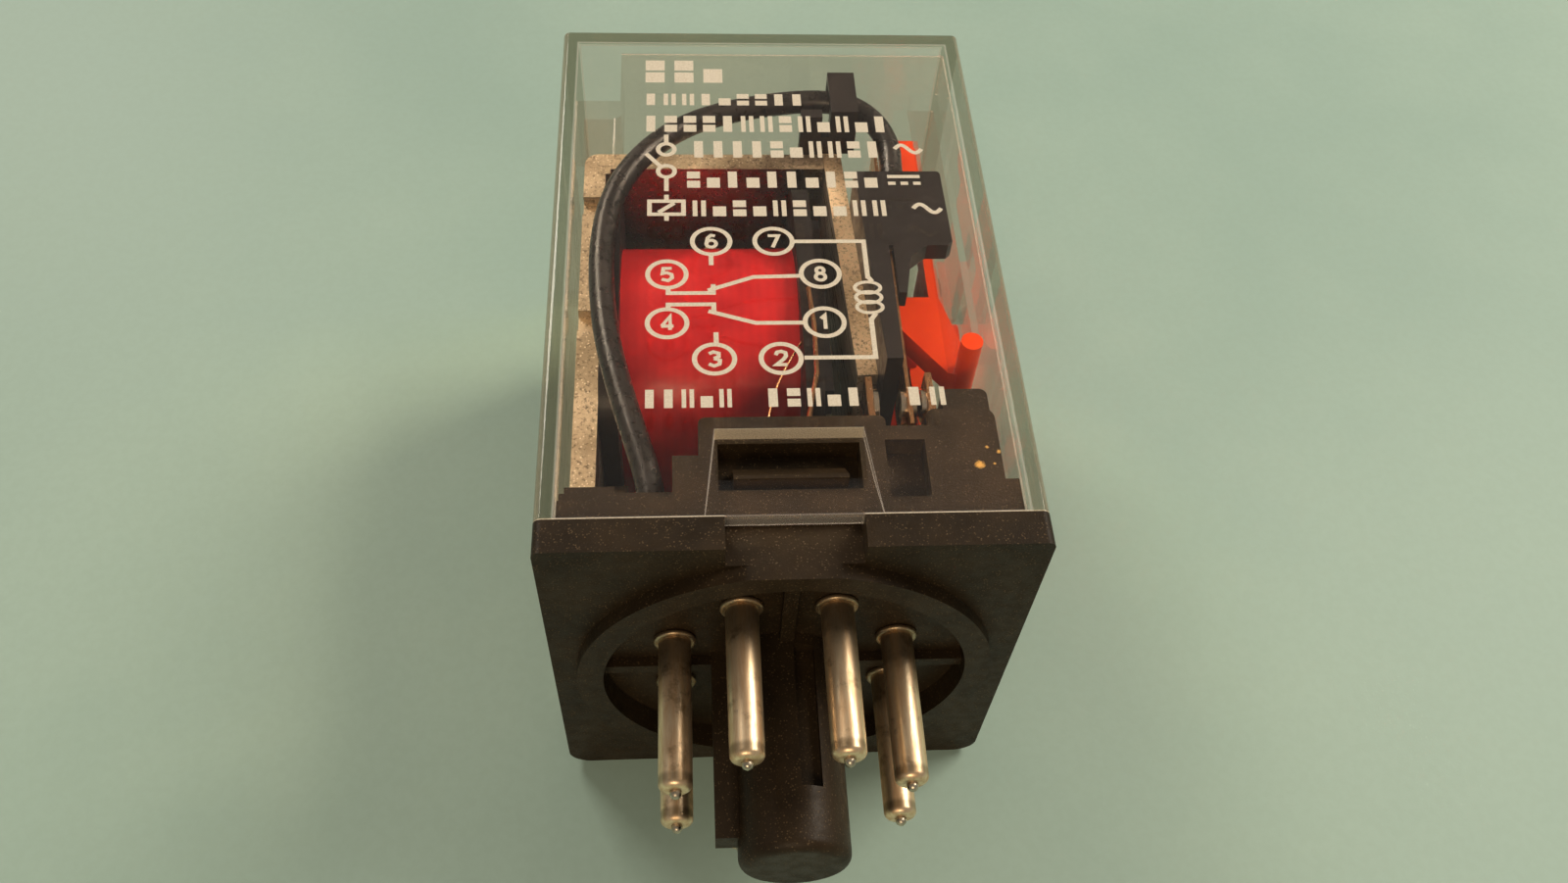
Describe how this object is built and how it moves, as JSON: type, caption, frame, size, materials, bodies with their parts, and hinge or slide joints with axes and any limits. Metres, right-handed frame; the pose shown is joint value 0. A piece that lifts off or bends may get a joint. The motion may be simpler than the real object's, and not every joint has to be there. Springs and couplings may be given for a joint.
{
  "type": "plug-in relay",
  "caption": "Plug-in relay with a clear box cover, a keyed round plug of pins, a coil and armature with changeover contacts, and a test lever.",
  "frame": {"origin": "plug axis, at the seating plane of the ring on the base's end face", "axes": "+Y along the plug's axis from the pins to the closed end of the cover, +Z out of the printed front face, +X towards the contacts"},
  "size_m": [0.034, 0.0666, 0.034],
  "materials": {
    "base_plastic": "moulded, fine grain",
    "clear_cover": "clear, polished",
    "pin_metal": "dull plated brass",
    "solder": "soldered tips",
    "magnet_steel": "plated sheet steel",
    "plated_steel": "plated wire and rivets",
    "copper": "rolled copper alloy",
    "black_moulding": "moulded",
    "red_tape": "wound film tape",
    "terminal_brass": "tinned",
    "silver": "contact silver",
    "lead_sleeve": "glossy sleeve",
    "lever_plastic": "moulded"
  },
  "bodies": {
    "housing": {"base": "base_plastic", "cover": "clear_cover", "pin_1": "pin_metal", "pin_2": "pin_metal", "pin_3": "pin_metal", "pin_4": "pin_metal", "pin_5": "pin_metal", "pin_6": "pin_metal", "pin_7": "pin_metal", "pin_8": "pin_metal", "pin_solder": "solder", "yoke": "magnet_steel", "core": "magnet_steel", "shading_ring": "copper", "bobbin": "black_moulding", "coil_winding": "copper", "coil_tape": "red_tape", "coil_tag_front": "terminal_brass", "coil_tag_rear": "terminal_brass", "coil_wire_front": "copper", "coil_wire_rear": "copper", "return_spring": "plated_steel", "lead_guide": "black_moulding", "no_terminal_front": "copper", "no_terminal_rear": "copper", "no_contact_front": "silver", "no_contact_rear": "silver", "nc_terminal_front": "copper", "nc_terminal_rear": "copper", "nc_contact_front": "silver", "nc_contact_rear": "silver", "common_tag_front": "terminal_brass", "common_tag_rear": "terminal_brass", "lead_front": "lead_sleeve", "lead_rear": "lead_sleeve"},
    "armature": {"armature": "magnet_steel", "armature_rivets": "plated_steel", "contact_carrier": "black_moulding", "blade_front": "copper", "blade_rear": "copper", "moving_contact_front": "silver", "moving_contact_rear": "silver"},
    "test_lever": {"test_lever": "lever_plastic"}
  },
  "joints": [
    {"name": "armature_hinge", "type": "hinge", "parent": "housing", "child": "armature", "pos_m": [0.0052, 0.0452, 0], "axis": [0, 0, -1], "range_deg": [0, 2.5], "stiffness_Nm_per_rad": 0.2, "springref_deg": -3.44, "deforming": ["return_spring", "lead_front", "lead_rear"]},
    {"name": "test_lever_hinge", "type": "hinge", "parent": "housing", "child": "test_lever", "pos_m": [0.01489, 0.0218, 0], "axis": [0, 0, 1], "range_deg": [0, 5.8], "stiffness_Nm_per_rad": 0.002, "springref_deg": -5.73}
  ],
  "couplings": [
    {"joint": "test_lever_hinge", "follows": "armature_hinge", "ratio": 2.3}
  ]
}
